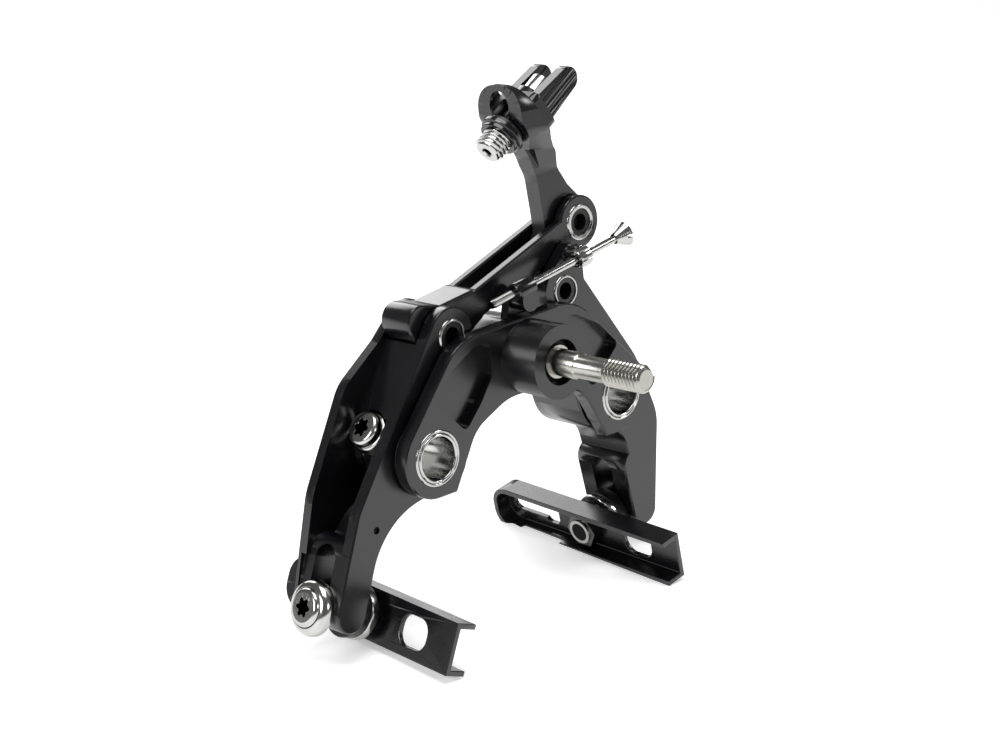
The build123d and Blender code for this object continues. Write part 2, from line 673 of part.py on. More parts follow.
def upright():
    """The lever between the right arm, the link and the cable stop."""
    bx, bz = side_pos(RIGHT, RIGHT_PIN)
    ax, az = LINK_PIN
    half = UPRIGHT_STEM / 2
    wide = UPRIGHT_UPPER / 2
    lower = rod(bx, bz, UPRIGHT_EYE_R, ARM_MID - UPRIGHT_LOWER / 2, ARM_MID + UPRIGHT_LOWER / 2)
    tongue = strap((bx, bz, UPRIGHT_EYE_R), (ax - 1.2, az, UPRIGHT_BOSS_R))
    body = lower + softened(slab(tongue, ARM_MID - half, ARM_MID + half))
    profile = make_face(FilletPolyline(
        *STEM_FRONT, *STEM_BACK, head_back(HEAD_BACK_RUN), head_back(-12.0),
        radius=[0, 3, 3, 6, 8, 8, 2, 4, 2.5, 3, 4, 4, 3, 0.6, 0.3, 0], close=True))
    head = slab(profile, ARM_MID - 20, ARM_MID + 20) & front_view(HEAD_HALF, wide, half)
    body += head - link_shadow(half)
    for way in (-1, 1):
        body -= slab(stem_pocket(), ARM_MID + way * wide - 1, ARM_MID + way * wide + 1)
    body -= rod(bx, bz, PIN_R + RUN_CLEAR, ARM_NEAR, ARM_FAR)
    body -= rod(ax, az, PIN_R + RUN_CLEAR, ARM_NEAR, ARM_FAR)
    return body - keyhole()


def head_back(down):
    """A corner of the head's flat back, some way down the slot."""
    x, _, z = head_point(HEAD_THICK, down)
    return x, z


def front_view(half, narrow, stem):
    """The upright seen from the side of the cable: a round-shouldered head on a tapered stem."""
    waist = HEAD_HOLE[1] - SLOT_RUN * 0.83
    head_top = HEAD_HOLE[1] + HEAD_CAP
    side = [(stem, 0, 0), (stem, STEM_TAPER_END, 6), (narrow, waist - 2.6, 3), (half, waist + 2.2, 3),
            (half, head_top, HEAD_CORNER_R)]
    face = bent([(-x, z, r) for x, z, r in side] + side[::-1])
    return Pos(-40, ARM_MID, 0) * extrude(Plane.YZ * face, 120)


def link_shadow(half):
    """The room that the rails sweep beside the stem while the brake closes."""
    ax, az = LINK_PIN
    cx, cz = side_pos(LEFT, LEFT_PIN)
    rest = math.atan2(az - cz, ax - cx) + math.pi
    r = LINK_RAIL_HEIGHT / 2 + GAP
    rails = disc(ax, az, LINK_EYE_R + GAP)
    for step in range(SWEEP_STEPS + 1):
        turn = rest - math.radians(LINK_SWEEP) * step / SWEEP_STEPS
        rails += strap((ax, az, r), (ax + SWEEP_REACH * math.cos(turn), az + SWEEP_REACH * math.sin(turn), r))
    return (slab(rails, ARM_MID - ARM_WIDTH, ARM_MID - half)
            + slab(rails, ARM_MID + half, ARM_MID + ARM_WIDTH))


def stem_pocket():
    """The leaf-shaped sunk field in each side of the stem."""
    return strap((12.9, 56.0, 1.6), (16.0, 50.9, 1.2))


def keyhole():
    """The big hole and the slot below it, cut along the cable."""
    outline = Circle(KEYHOLE_R) + Pos(0, -SLOT_RUN / 2) * Rectangle(2 * SLOT_HALF, SLOT_RUN)
    outline += Pos(0, -SLOT_RUN) * Circle(SLOT_HALF)
    frame = head_frame()
    return frame * Pos(0, 0, -12) * extrude(outline, 40)


def stop_frame(along=0.0):
    """The head's frame at the height where the cable runs."""
    return head_frame(along, STOP_DOWN)


def cable_stop():
    """The fluted yoke that saddles the head's back and takes the housing's end."""
    seat = HEAD_THICK + FIT_CLEAR
    up = (Align.CENTER, Align.CENTER, Align.MIN)
    saddle = Pos(0, (SADDLE_TOP - SADDLE_TAIL) / 2) * RectangleRounded(
        2 * SADDLE_HALF, SADDLE_TOP + SADDLE_TAIL, SADDLE_CORNER)
    body = Pos(0, 0, seat) * extrude(saddle, SADDLE_THICK)
    for across in (-1, 1):
        place = Pos(across * (SADDLE_HALF - EAR_THICK), 0, seat)
        blade = Rot(0, -90, 0) * ear()
        body += place * (blade if across < 0 else mirror(blade, Plane.YZ))
    body += Pos(0, 0, seat) * Cylinder(FERRULE_R + COLLAR_WALL, SADDLE_THICK + COLLAR_RISE, align=up)
    body -= Pos(0, 0, seat) * Box(60, 60, 30, align=(Align.CENTER, Align.CENTER, Align.MAX))
    body -= Pos(0, 0, seat - 1) * Cylinder(BARREL_NECK_R + FIT_CLEAR, 40, align=up)
    body -= Pos(0, 0, seat + SADDLE_THICK - FERRULE_SINK) * Cylinder(FERRULE_R + FIT_CLEAR, 30, align=up)
    return stop_frame() * body


def ear():
    """One finger of the stop: a round-ended blade with broken edges and three flutes."""
    face = strap((0, -EAR_ROOT_DROP, EAR_ROOT_R), (EAR_REACH - EAR_R, -EAR_TIP_DROP, EAR_R))
    blade = extrude(face, EAR_THICK)
    blade = chamfer(blade.faces().sort_by(Axis.Z)[-1].outer_wire().edges(), EAR_EDGE)
    for row in (-1, 0, 1):
        place = Pos(EAR_REACH / 2, row * FLUTE_PITCH - EAR_TIP_DROP, EAR_THICK + FLUTE_R - FLUTE_DEPTH)
        blade -= place * Rot(0, 90, 0) * Cylinder(FLUTE_R, 2 * EAR_REACH)
    return blade


def ferrule():
    """The bright cup that the cable housing ends in."""
    low = HEAD_THICK + FIT_CLEAR + SADDLE_THICK - FERRULE_SINK
    body = washer(low, low + FERRULE_LENGTH, FERRULE_R, CABLE_HOLE_R)
    body -= Pos(0, 0, low + FERRULE_FLOOR) * Cylinder(
        FERRULE_R - FERRULE_WALL, 20, align=(Align.CENTER, Align.CENTER, Align.MIN))
    return stop_frame() * body


def barrel():
    """The threaded adjuster barrel with its neck through the head's slot."""
    low = -LOCK_RING_THICK - STOP_WASHER_THICK
    neck_end = HEAD_THICK + SADDLE_THICK - FERRULE_SINK - 0.1
    thread = washer(low - BARREL_LENGTH, -STOP_WASHER_THICK, BARREL_R, CABLE_HOLE_R)
    neck = washer(-STOP_WASHER_THICK - 0.5, neck_end, BARREL_NECK_R, CABLE_HOLE_R)
    return stop_frame() * (thread + neck)


def lock_ring():
    """The black ring nut on the barrel."""
    low = -LOCK_RING_THICK - STOP_WASHER_THICK
    return stop_frame() * washer(low, -STOP_WASHER_THICK, LOCK_RING_R, BARREL_R + FIT_CLEAR)


def stop_washer():
    """The thin washer between the ring nut and the head."""
    return stop_frame() * washer(-STOP_WASHER_THICK, -FIT_CLEAR, LOCK_RING_R - 0.5, BARREL_NECK_R + 0.6)


def anchor_frame():
    """A place on the pivot: local Z points outward along the anchor bolt."""
    turn = math.radians(ANCHOR_TURN)
    return Location(Plane(origin=(-PIVOT_HALF, ARM_MID, 0), x_dir=(0, 1, 0),
                          z_dir=(-math.cos(turn), 0, math.sin(turn))))


def anchor_bolt():
    """The cable's clamp bolt on the left arm."""
    low = HUB_TUBE_R - ANCHOR_DEPTH
    seat = HUB_TUBE_R + CLAMP_THICK
    shank = Pos(0, 0, low) * Cylinder(ANCHOR_R, seat - low, align=(Align.CENTER, Align.CENTER, Align.MIN))
    return anchor_frame() * (shank + Pos(0, 0, seat) * button_head(ANCHOR_HEAD_R, ANCHOR_HEAD_THICK))


def anchor_clamp():
    """The stepped round washer that presses on the cable, with its groove."""
    clamp = washer(HUB_TUBE_R, HUB_TUBE_R + CLAMP_THICK, CLAMP_R, ANCHOR_R + FIT_CLEAR, CLAMP_STEP)
    groove = Pos(ANCHOR_R + CLAMP_GROOVE_R, 0, HUB_TUBE_R) * Rot(90, 0, 0) * Cylinder(
        CLAMP_GROOVE_R, 4 * CLAMP_R)
    return anchor_frame() * (clamp - groove)


def anchor_seat():
    """The round boss on the hub under the clamp washer, the room above it and the bolt's hole."""
    r = CLAMP_R + GAP
    boss = extrude(Circle(r), HUB_TUBE_R + GAP)
    above = Pos(0, 0, HUB_TUBE_R) * extrude(Circle(r), CLAMP_R * 2)
    hole = Pos(0, 0, HUB_TUBE_R - ANCHOR_DEPTH) * Cylinder(
        ANCHOR_R + FIT_CLEAR, 30, align=(Align.CENTER, Align.CENTER, Align.MIN))
    return anchor_frame() * boss, anchor_frame() * above, anchor_frame() * hole


def screw_frame(along=0.0):
    """A place on the centring screw: local Z runs along it to its head."""
    turn = math.radians(SCREW_TURN)
    x = BLOCK_PIN[0] - BLOCK_RISE * math.sin(turn) + along * math.cos(turn)
    z = BLOCK_PIN[1] + BLOCK_RISE * math.cos(turn) + along * math.sin(turn)
    return Location(Plane(origin=(x, SCREW_Y, z), x_dir=(0, 1, 0),
                          z_dir=(math.cos(turn), 0, math.sin(turn))))


def centring_screw():
    """The long screw with a slotted cone head."""
    length = SCREW_TIP + SCREW_HEAD
    wide, deep = SCREW_SLIT
    shaft = Cylinder(SCREW_R, length, align=(Align.CENTER, Align.CENTER, Align.MIN))
    cone = Pos(0, 0, length) * Cone(SCREW_R + 0.3, SCREW_HEAD_R, SCREW_HEAD_LENGTH,
                                    align=(Align.CENTER, Align.CENTER, Align.MIN))
    slit = Pos(0, 0, length + SCREW_HEAD_LENGTH) * Box(3 * SCREW_HEAD_R, wide, 2 * deep)
    return screw_frame(-SCREW_TIP) * (shaft + cone - slit)


def fluted_collar():
    """The small grip sleeve that the screw runs through."""
    body = Cylinder(SCREW_COLLAR_R, SCREW_COLLAR_LENGTH, align=(Align.CENTER, Align.CENTER, Align.MIN))
    body = chamfer(body.edges().filter_by(GeomType.CIRCLE), 0.35)
    for flute in range(COLLAR_FLUTES):
        place = Rot(0, 0, 360 / COLLAR_FLUTES * flute) * Pos(SCREW_COLLAR_R + 0.15, 0, 0)
        body -= place * Cylinder(COLLAR_FLUTE_R, 4 * SCREW_COLLAR_LENGTH)
    return body


def centring_block():
    """The swivel block that the screw runs in: a short barrel on the pin's boss."""
    place = screw_frame()
    x, z = BLOCK_PIN
    body = place * Pos(0, 0, -BLOCK_LENGTH / 2) * chamfer(
        Cylinder(BLOCK_R, BLOCK_LENGTH, align=(Align.CENTER, Align.CENTER, Align.MIN)).edges(), EDGE)
    body += rod(x, z, BLOCK_BOSS_R, SCREW_Y - BLOCK_BOSS_HALF, SCREW_Y + BLOCK_BOSS_HALF)
    body -= place * Cylinder(SCREW_R + RUN_CLEAR, 60)
    return body - rod(x, z, BLOCK_PIN_R + RUN_CLEAR, SCREW_Y - PIN_FLOOR, SCREW_Y + 2 * BLOCK_BOSS_HALF)


def block_pin():
    """The short pin that the block swivels on."""
    return rod(*BLOCK_PIN, BLOCK_PIN_R, SCREW_Y - PIN_FLOOR + 0.1,
               SCREW_Y + BLOCK_BOSS_HALF + GAP + LUG_THICK)


def screw_guide():
    """The fluted swivel on the right arm's ear that the screw slides through."""
    x, _, z = screw_frame(SCREW_COLLAR).position
    body = screw_frame(SCREW_COLLAR - SCREW_COLLAR_LENGTH / 2) * fluted_collar()
    body += rod(x, z, GUIDE_PIN_R, SCREW_Y, INNER_NEAR - 0.6)
    body += rod(x, z, SCREW_COLLAR_R, SCREW_Y, ARM_NEAR - GAP * 0.3)
    return body - screw_frame() * Cylinder(SCREW_R + 0.25, 90)


def spring(side):
    """A return spring: turns of wire round the sleeve, inside the arm."""
    start = HUB_TUBE_END + SPRING_WIRE / 2 + SPRING_END_CLEAR
    helix = Helix(pitch=SPRING_PITCH, height=SPRING_PITCH * SPRING_TURNS, radius=SPRING_R)
    coil = Rot(-90, 0, 0) * helix
    section = Plane(origin=coil @ 0, z_dir=coil % 0) * Circle(SPRING_WIRE / 2)
    wire = sweep(section, path=coil, is_frenet=True)
    print("spring self gap", round(SPRING_PITCH - SPRING_WIRE, 2))
    return Pos(side * PIVOT_HALF, start, 0) * wire


def main():
    os.makedirs("parts", exist_ok=True)
    write("bridge", bridge())
    write("mounting_stud", mounting_stud())
    for side, word in ((LEFT, "left"), (RIGHT, "right")):
        x = side * PIVOT_HALF
        write(f"pivot_sleeve_{word}", tube(x, 0, SLEEVE_R, SLEEVE_BORE_R, -SLEEVE_PROUD,
                                          ARM_FAR + GAP + CAP_RING_THICK))
        write(f"pivot_bush_{word}", tube(x, 0, BUSH_R, SLEEVE_R + FIT_CLEAR, -BUSH_PROUD, BRIDGE_PLATE))
        write(f"thrust_washer_{word}", tube(x, 0, THRUST_WASHER_R, SLEEVE_R + RUN_CLEAR,
                                            BRIDGE_PLATE, ARM_NEAR - FIT_CLEAR))
        write(f"sleeve_cap_{word}", tube(x, 0, CAP_RING_R, SLEEVE_R + FIT_CLEAR, ARM_FAR + GAP,
                                         ARM_FAR + GAP + CAP_RING_THICK))
        write(f"return_spring_{word}", spring(side))

    left_foot, right_foot = foot_circle(LEFT, LEFT_FOOT), foot_circle(RIGHT, RIGHT_FOOT)
    left = arm(LEFT, LEFT_PIN, LEFT_TOP_R, left_foot, LEFT_TILT, (LEFT_OUTER, LEFT_FAR_OUTER, LEFT_INNER))
    boss, above, hole = anchor_seat()
    sleeve_room = rod(-PIVOT_HALF, 0, SLEEVE_R + RUN_CLEAR, 0, ARM_FAR + 1)
    dx, dz = side_pos(LEFT, DIMPLE)
    dimple = rod(dx, dz, DIMPLE_R, 0, ARM_NEAR + DIMPLE_DEPTH)
    write("left_arm", left + boss - sleeve_room - spring_room(LEFT) - above - hole - dimple)
    right = arm(RIGHT, RIGHT_PIN, RIGHT_TOP_R, right_foot, RIGHT_TILT,
                (RIGHT_OUTER, RIGHT_FAR_OUTER, RIGHT_INNER))
    bx, bz = side_pos(RIGHT, RIGHT_PIN)
    gx, _, gz = screw_frame(SCREW_COLLAR).position
    lobe = slab(strap((bx, bz, RIGHT_TOP_R), (gx, gz, GUIDE_EAR_R)), ARM_NEAR, INNER_NEAR)
    right += lobe - rod(bx, bz, PIN_RING_R + FIT_CLEAR, 0, ARM_FAR)
    right -= rod(gx, gz, GUIDE_PIN_R + RUN_CLEAR, 0, INNER_NEAR + 1)
    write("right_arm", right)
    write("anchor_bolt", anchor_bolt())
    write("anchor_clamp", anchor_clamp())

    for side, word, foot, tilt in ((LEFT, "left", left_foot, LEFT_TILT),
                                   (RIGHT, "right", right_foot, RIGHT_TILT)):
        write(f"pad_holder_{word}", pad_holder(side, foot, tilt))
        write(f"pad_bolt_{word}", pad_bolt(side, foot, tilt))
        dome, cup, ring, ball = pad_washers(side, foot, tilt)
        write(f"dome_washer_{word}", dome)
        write(f"cup_washer_{word}", cup)
        write(f"steel_ring_{word}", ring)
        write(f"ball_washer_{word}", ball)
        write(f"pad_nut_{word}", pad_nut(side, foot, tilt))

    cx, cz = side_pos(LEFT, LEFT_PIN)
    write("left_top_pin", hollow_pin(cx, cz, ARM_NEAR, ARM_FAR, (LINK_NEAR - 0.2, LINK_FAR + 0.2)))
    write("left_top_ring", pin_ring(cx, cz, PIN_RING_R, ARM_NEAR))
    write("right_top_pin", hollow_pin(bx, bz, ARM_NEAR, ARM_FAR, None))
    write("right_top_ring", pin_ring(bx, bz, PIN_RING_R, ARM_NEAR))
    write("link_pin", hollow_pin(*LINK_PIN, LINK_NEAR, LINK_FAR, None))
    write("link_pin_ring", pin_ring(*LINK_PIN, BIG_RING_R, LINK_NEAR))
    write("link", link())
    write("upright", upright())
    write("cable_stop", cable_stop())
    write("housing_ferrule", ferrule())
    write("adjuster_barrel", barrel())
    write("lock_ring", lock_ring())
    write("stop_washer", stop_washer())
    write("centring_screw", centring_screw())
    write("centring_block", centring_block())
    write("block_pin", block_pin())
    write("screw_guide", screw_guide())


main()
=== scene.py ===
# %% [markdown]
# A rim brake caliper for a road bicycle. An arched bridge hangs on one threaded stud, and two arms
# turn on hollow sleeves in the bridge. A link and an upright lever join the arms at the top, and the
# lever's head holds the cable's stop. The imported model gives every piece's place, so this lesson
# only dresses it: finer pieces where the eye stops, then metal finishes, light and a camera.

import json
import math

import bmesh
import bpy
from mathutils import Matrix, Vector


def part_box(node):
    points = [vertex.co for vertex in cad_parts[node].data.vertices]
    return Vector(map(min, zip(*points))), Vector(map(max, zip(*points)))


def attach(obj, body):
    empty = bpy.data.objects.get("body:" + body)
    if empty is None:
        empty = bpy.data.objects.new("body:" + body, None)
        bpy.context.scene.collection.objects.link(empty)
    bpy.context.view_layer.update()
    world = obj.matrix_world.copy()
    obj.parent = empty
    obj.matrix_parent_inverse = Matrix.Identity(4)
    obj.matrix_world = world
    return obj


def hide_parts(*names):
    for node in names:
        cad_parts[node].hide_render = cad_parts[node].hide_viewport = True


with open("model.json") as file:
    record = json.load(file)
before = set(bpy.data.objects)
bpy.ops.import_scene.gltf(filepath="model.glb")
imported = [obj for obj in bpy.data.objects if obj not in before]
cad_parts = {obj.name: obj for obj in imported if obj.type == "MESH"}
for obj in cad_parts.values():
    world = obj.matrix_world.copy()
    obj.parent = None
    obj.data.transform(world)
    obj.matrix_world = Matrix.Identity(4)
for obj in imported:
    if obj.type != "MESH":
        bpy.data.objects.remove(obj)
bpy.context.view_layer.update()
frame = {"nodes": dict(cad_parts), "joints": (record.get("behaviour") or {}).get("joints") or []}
MM = 0.001
nodes = frame["nodes"]
joints = {joint["name"]: joint for joint in frame["joints"]}

# %% [markdown]
# The photograph was taken from the front left, a little above the pivots, with a long lens. A long
# lens flattens the arms' perspective, so the camera stands almost half a metre away.
# Its three directions are written as rows and turned into one rotation.

# %% Camera
CAMERA_PLACE = Vector((-314.7, -319.9, 125.5)) * MM
LOOK = Vector((0.654, 0.705, -0.273))
CAMERA_RIGHT = Vector((0.718, -0.692, -0.068))
FOCAL_PIXELS = 2202.4
PHOTO_WIDTH = 1000
SENSOR = 36.0

camera_data = bpy.data.cameras.new("camera")
camera_data.sensor_width = SENSOR
camera_data.lens = FOCAL_PIXELS * SENSOR / PHOTO_WIDTH
camera_data.clip_start = 0.01
camera = bpy.data.objects.new("camera", camera_data)
bpy.context.scene.collection.objects.link(camera)
look = LOOK.normalized()
right = (CAMERA_RIGHT - look * CAMERA_RIGHT.dot(look)).normalized()
up = right.cross(look)
turn = Matrix((right, up, -look)).transposed()
camera.matrix_world = Matrix.Translation(CAMERA_PLACE) @ turn.to_4x4()
bpy.context.scene.camera = camera
print("lens:", round(camera_data.lens, 1), "mm")

# %% [markdown]
# The caliper stands on the lower edges of its pad holders and leans a little towards the camera.
# The floor takes that slope instead, so the caliper keeps the frame's directions. It is one wide
# white sheet, as a product photographer's table is, and nothing on it competes with the black arms.

# %% Floor
FLOOR_LEAN = math.radians(5.0)
FLOOR_SIZE = 6.0
FLOOR_SINK = 0.05 * MM
FLOOR_CELLS = 8

holder_low = min(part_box(f"pad_holder_{side}")[0][2] for side in ("left", "right"))
holder_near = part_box("pad_holder_left")[0][1]
bm = bmesh.new()
bmesh.ops.create_grid(bm, x_segments=FLOOR_CELLS, y_segments=FLOOR_CELLS, size=FLOOR_SIZE / 2)
bmesh.ops.rotate(bm, verts=bm.verts, cent=(0, 0, 0), matrix=Matrix.Rotation(FLOOR_LEAN, 3, "X"))
floor_height = holder_low - FLOOR_SINK - holder_near * math.tan(FLOOR_LEAN)
bmesh.ops.translate(bm, verts=bm.verts, vec=(0, 0, floor_height))
floor_mesh = bpy.data.meshes.new("floor")
bm.to_mesh(floor_mesh)
bm.free()
floor = bpy.data.objects.new("floor", floor_mesh)
bpy.context.scene.collection.objects.link(floor)
print("floor under the holders at", round(holder_low * 1000, 1), "mm")

# %% [markdown]
# Black metal shows what it reflects. Large soft lights in a dim room give the long grey sheens on the
# arms, and the parts that face no light stay deep black. The table is lit through its own white sheet,
# so it stays white in the dim room and casts hardly a shadow.

# %% Light
SOFTBOXES = (
    ("top", (-0.10, -0.10, 0.80), 0.55, 4.5),
    ("left", (-0.80, 0.10, 0.35), 0.35, 4.0),
    ("front", (-0.05, -0.85, 0.30), 0.25, 1.2),
    ("right", (0.60, -0.45, 0.45), 0.25, 2.0),
    ("back", (0.30, 0.80, 0.50), 0.60, 4.5),
)
WORLD_GREY = 0.16

for name, place, size, power in SOFTBOXES:
    lamp = bpy.data.lights.new(f"softbox_{name}", "AREA")
    lamp.shape = "SQUARE"
    lamp.size = size
    lamp.energy = power
    lamp_object = bpy.data.objects.new(lamp.name, lamp)
    lamp_object.location = place
    lamp_object.rotation_euler = (-Vector(place)).to_track_quat("-Z", "Y").to_euler()
    bpy.context.scene.collection.objects.link(lamp_object)
world = bpy.data.worlds.new("studio")
world.use_nodes = True
room = world.node_tree.nodes["Background"]
room.inputs["Color"].default_value = (WORLD_GREY, WORLD_GREY, WORLD_GREY, 1)
bpy.context.scene.world = world
bpy.context.scene.view_settings.view_transform = "Standard"
print("softboxes:", len(SOFTBOXES))

# %% [markdown]
# Finishes are built from the same few moves, so two small helpers come first. One turns an sRGB hex
# value, as a colour picker gives it, into the linear numbers that light is worked out in. The other
# adds a node, sets its values and joins its inputs.

# %% Material helpers
def linear(hex_colour):
    """The linear colour of an sRGB hex value."""
    channels = [int(hex_colour[i:i + 2], 16) / 255 for i in (0, 2, 4)]
    return [c / 12.92 if c <= 0.04045 else ((c + 0.055) / 1.055) ** 2.4 for c in channels] + [1.0]


def add_node(tree, kind, settings=None, inputs=None):
    """Adds a node to a tree. A value goes onto its socket, and a socket is linked to it."""
    node = tree.nodes.new(kind)
    for key, value in (settings or {}).items():
        setattr(node, key, value)
    for key, value in (inputs or {}).items():
        if isinstance(value, bpy.types.NodeSocket):
            tree.links.new(value, node.inputs[key])
        else:
            node.inputs[key].default_value = value
    return node


def new_material(name):
    """An empty material with its tree and its shader."""
    material = bpy.data.materials.new(name)
    material.use_nodes = True
    return material, material.node_tree, material.node_tree.nodes["Principled BSDF"]


def dress(thing, material):
    """Gives an object one material."""
    thing.data.materials.clear()
    thing.data.materials.append(material)


# %% [markdown]
# The floor is painted white and slightly uneven, so that it reads as a surface and not as a hole.

# %% White floor finish
TABLE_GLOW = 0.35
TABLE_ROUGHNESS = 0.55
MOTTLE_SCALE = 6.0

floor_paint, tree, shader = new_material("white_studio_floor")
place = add_node(tree, "ShaderNodeTexCoord").outputs["Object"]
mottle = add_node(tree, "ShaderNodeTexNoise", inputs={
    "Vector": place, "Scale": MOTTLE_SCALE, "Detail": 3.0})
tone = add_node(tree, "ShaderNodeMix", {"data_type": "RGBA"},
                {"Factor": mottle.outputs["Fac"], 6: linear("fbfbfb"), 7: linear("ffffff")})
tree.links.new(tone.outputs[2], shader.inputs["Base Color"])
shader.inputs["Roughness"].default_value = TABLE_ROUGHNESS
tree.links.new(tone.outputs[2], shader.inputs["Emission Color"])
shader.inputs["Emission Strength"].default_value = TABLE_GLOW
dress(floor, floor_paint)

# %% [markdown]
# The arms, the bridge, the link and the lever are forged aluminium, blasted with fine glass beads and
# anodised black. The dyed oxide is a thin clear skin over matt metal, so it shows a soft grey sheen
# where it faces a light and turns nearly black elsewhere. It isn't a bare metal any more, so its
# metallic value is 0. The bead blast is about 0.05 mm across, drawn here at 0.2 mm, so that it shows.

# %% Black anodised aluminium
CLOUD_MM = 9
RELIEF_MM = 0.01
OXIDE_IOR = 1.6


def black_anodised(name, base, roughness, grain_mm, bump):
    """Bead-blasted aluminium with a black dyed oxide skin."""
    material, tree, shader = new_material(name)
    place = add_node(tree, "ShaderNodeTexCoord").outputs["Object"]
    grain = add_node(tree, "ShaderNodeTexNoise", inputs={
        "Vector": place, "Scale": 1 / (grain_mm * MM), "Detail": 2.0, "Roughness": 0.6})
    cloud = add_node(tree, "ShaderNodeTexNoise", inputs={
        "Vector": place, "Scale": 1 / (CLOUD_MM * MM), "Detail": 4.0})
    colour = add_node(tree, "ShaderNodeMix", {"data_type": "RGBA"}, {
        "Factor": cloud.outputs["Fac"], 6: linear(base[0]), 7: linear(base[1])})
    gloss = add_node(tree, "ShaderNodeMapRange", inputs={
        "Value": cloud.outputs["Fac"], "To Min": roughness - 0.05, "To Max": roughness + 0.07})
    relief = add_node(tree, "ShaderNodeBump", inputs={
        "Strength": bump, "Distance": RELIEF_MM * MM, "Height": grain.outputs["Fac"]})
    tree.links.new(colour.outputs[2], shader.inputs["Base Color"])
    tree.links.new(gloss.outputs["Result"], shader.inputs["Roughness"])
    tree.links.new(relief.outputs["Normal"], shader.inputs["Normal"])
    shader.inputs["IOR"].default_value = OXIDE_IOR
    return material


anodised = black_anodised("black_anodised_aluminium", ("050507", "0b0b0f"), 0.24, 0.2, 0.3)
anodised_small = black_anodised("black_anodised_turned_part", ("040405", "08080b"),
                                0.18, 0.15, 0.15)

# %% [markdown]
# The screws, rings and washers are turned on a lathe. A lathe leaves fine rings round the part's own
# axis, on its faces and along its sides. The pattern is worked out from two lengths, the distance from
# the axis and the place along it, so it is round whichever way the piece points. The shade deep in a
# bolt's socket is painted: a finish can take a radius and a height below which its colour turns nearly black.

# %% Turned metal
# The colour of the painted shade inside a bolt's socket.
SOCKET_PAINTED_SHADE = "0a0a0a"
SMEAR_MM = 2.5


def turned_metal(name, centre, axis, colour, roughness, ring_mm, metallic=1.0, bump=0.25,
                 socket=None):
    """Metal with lathe marks round an axis through a centre. A socket, if any, is its radius and top, below
    which shade is painted nearly black.
    """
    material, tree, shader = new_material(name)
    place = add_node(tree, "ShaderNodeTexCoord").outputs["Object"]
    spin = Vector(axis).normalized().to_track_quat("Z", "Y").to_matrix().inverted().to_euler()
    moved = add_node(tree, "ShaderNodeVectorMath", {"operation": "SUBTRACT"}, {0: place, 1: tuple(centre)})
    local = add_node(tree, "ShaderNodeMapping", inputs={"Vector": moved.outputs[0], "Rotation": tuple(spin)})
    parts = add_node(tree, "ShaderNodeSeparateXYZ", inputs={"Vector": local.outputs["Vector"]})
    flat = add_node(tree, "ShaderNodeCombineXYZ", inputs={"X": parts.outputs["X"], "Y": parts.outputs["Y"]})
    reach = add_node(tree, "ShaderNodeVectorMath", {"operation": "LENGTH"}, {0: flat.outputs["Vector"]})
    mark = add_node(tree, "ShaderNodeCombineXYZ", inputs={"X": reach.outputs["Value"], "Y": parts.outputs["Z"]})
    rings = add_node(tree, "ShaderNodeTexNoise", inputs={
        "Vector": mark.outputs["Vector"], "Scale": 1 / (ring_mm * MM), "Detail": 3.0})
    smear = add_node(tree, "ShaderNodeTexNoise", inputs={
        "Vector": place, "Scale": 1 / (SMEAR_MM * MM), "Detail": 3.0})
    gloss = add_node(tree, "ShaderNodeMapRange", inputs={
        "Value": smear.outputs["Fac"], "To Min": roughness * 0.7, "To Max": roughness * 1.4})
    relief = add_node(tree, "ShaderNodeBump", inputs={
        "Strength": bump, "Distance": RELIEF_MM * MM, "Height": rings.outputs["Fac"]})
    tone = add_node(tree, "ShaderNodeMix", {"data_type": "RGBA"}, {
        "Factor": rings.outputs["Fac"], 6: linear(colour[0]), 7: linear(colour[1])})
    # Painted shade: within the socket's radius and below its top, the colour turns nearly black.
    if socket:
        radius, top = socket
        within = add_node(tree, "ShaderNodeMath", {"operation": "LESS_THAN"}, {
            0: reach.outputs["Value"], 1: radius * MM})
        below = add_node(tree, "ShaderNodeMath", {"operation": "LESS_THAN"}, {
            0: parts.outputs["Z"], 1: top * MM})
        inside = add_node(tree, "ShaderNodeMath", {"operation": "MULTIPLY"}, {
            0: within.outputs[0], 1: below.outputs[0]})
        tone = add_node(tree, "ShaderNodeMix", {"data_type": "RGBA"}, {
            "Factor": inside.outputs[0], 6: tone.outputs[2], 7: linear(SOCKET_PAINTED_SHADE)})
    tree.links.new(tone.outputs[2], shader.inputs["Base Color"])
    tree.links.new(gloss.outputs["Result"], shader.inputs["Roughness"])
    tree.links.new(relief.outputs["Normal"], shader.inputs["Normal"])
    shader.inputs["Metallic"].default_value = metallic
    return material


def middle(node):
    """The middle of a node's box."""
    low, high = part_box(node)
    return [(a + b) / 2 for a, b in zip(low, high)]


STAINLESS = ("a6a6a4", "c2c2c0")
ZINC = ("96948f", "b6b4ae")
DULL_STEEL = ("555553", "73736f")
BLACK_OXIDE = ("0b0b0c", "131314")

# %% [markdown]
# The frame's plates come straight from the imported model. A forged and tumbled edge is always a little
# round and catches a line of light, and a bevel is meant to give that line in the geometry itself. Here
# it hardly does. With its overlap clamp a bevel never grows past the shortest edges beside it, and these
# meshes have edges so short that it stops below 0.005 mm on the big pieces, whatever width is written.
# On the right arm it left mostly collapsed faces, so that piece is only welded. Merging each face's flat
# triangles before the bevel could give it room, and wasn't tried.

# %% Edges of the carried-over pieces
ARM_EDGE = 0.32 * MM
SMALL_EDGE = 0.1 * MM
WELD_DISTANCE = 0.002 * MM
EDGE_ANGLE = math.radians(28)


def round_edges(thing, width):
    """Welds a piece's triangles and bevels its sharp edges as far as the clamp lets it, or only welds."""
    weld = thing.modifiers.new("weld", "WELD")
    weld.merge_threshold = WELD_DISTANCE
    if not width:
        return
    bevel = thing.modifiers.new("edges", "BEVEL")
    bevel.width = width
    bevel.segments = 2
    bevel.profile = 0.5
    bevel.limit_method = "ANGLE"
    bevel.angle_limit = EDGE_ANGLE
    bevel.use_clamp_overlap = True
    bevel.harden_normals = False


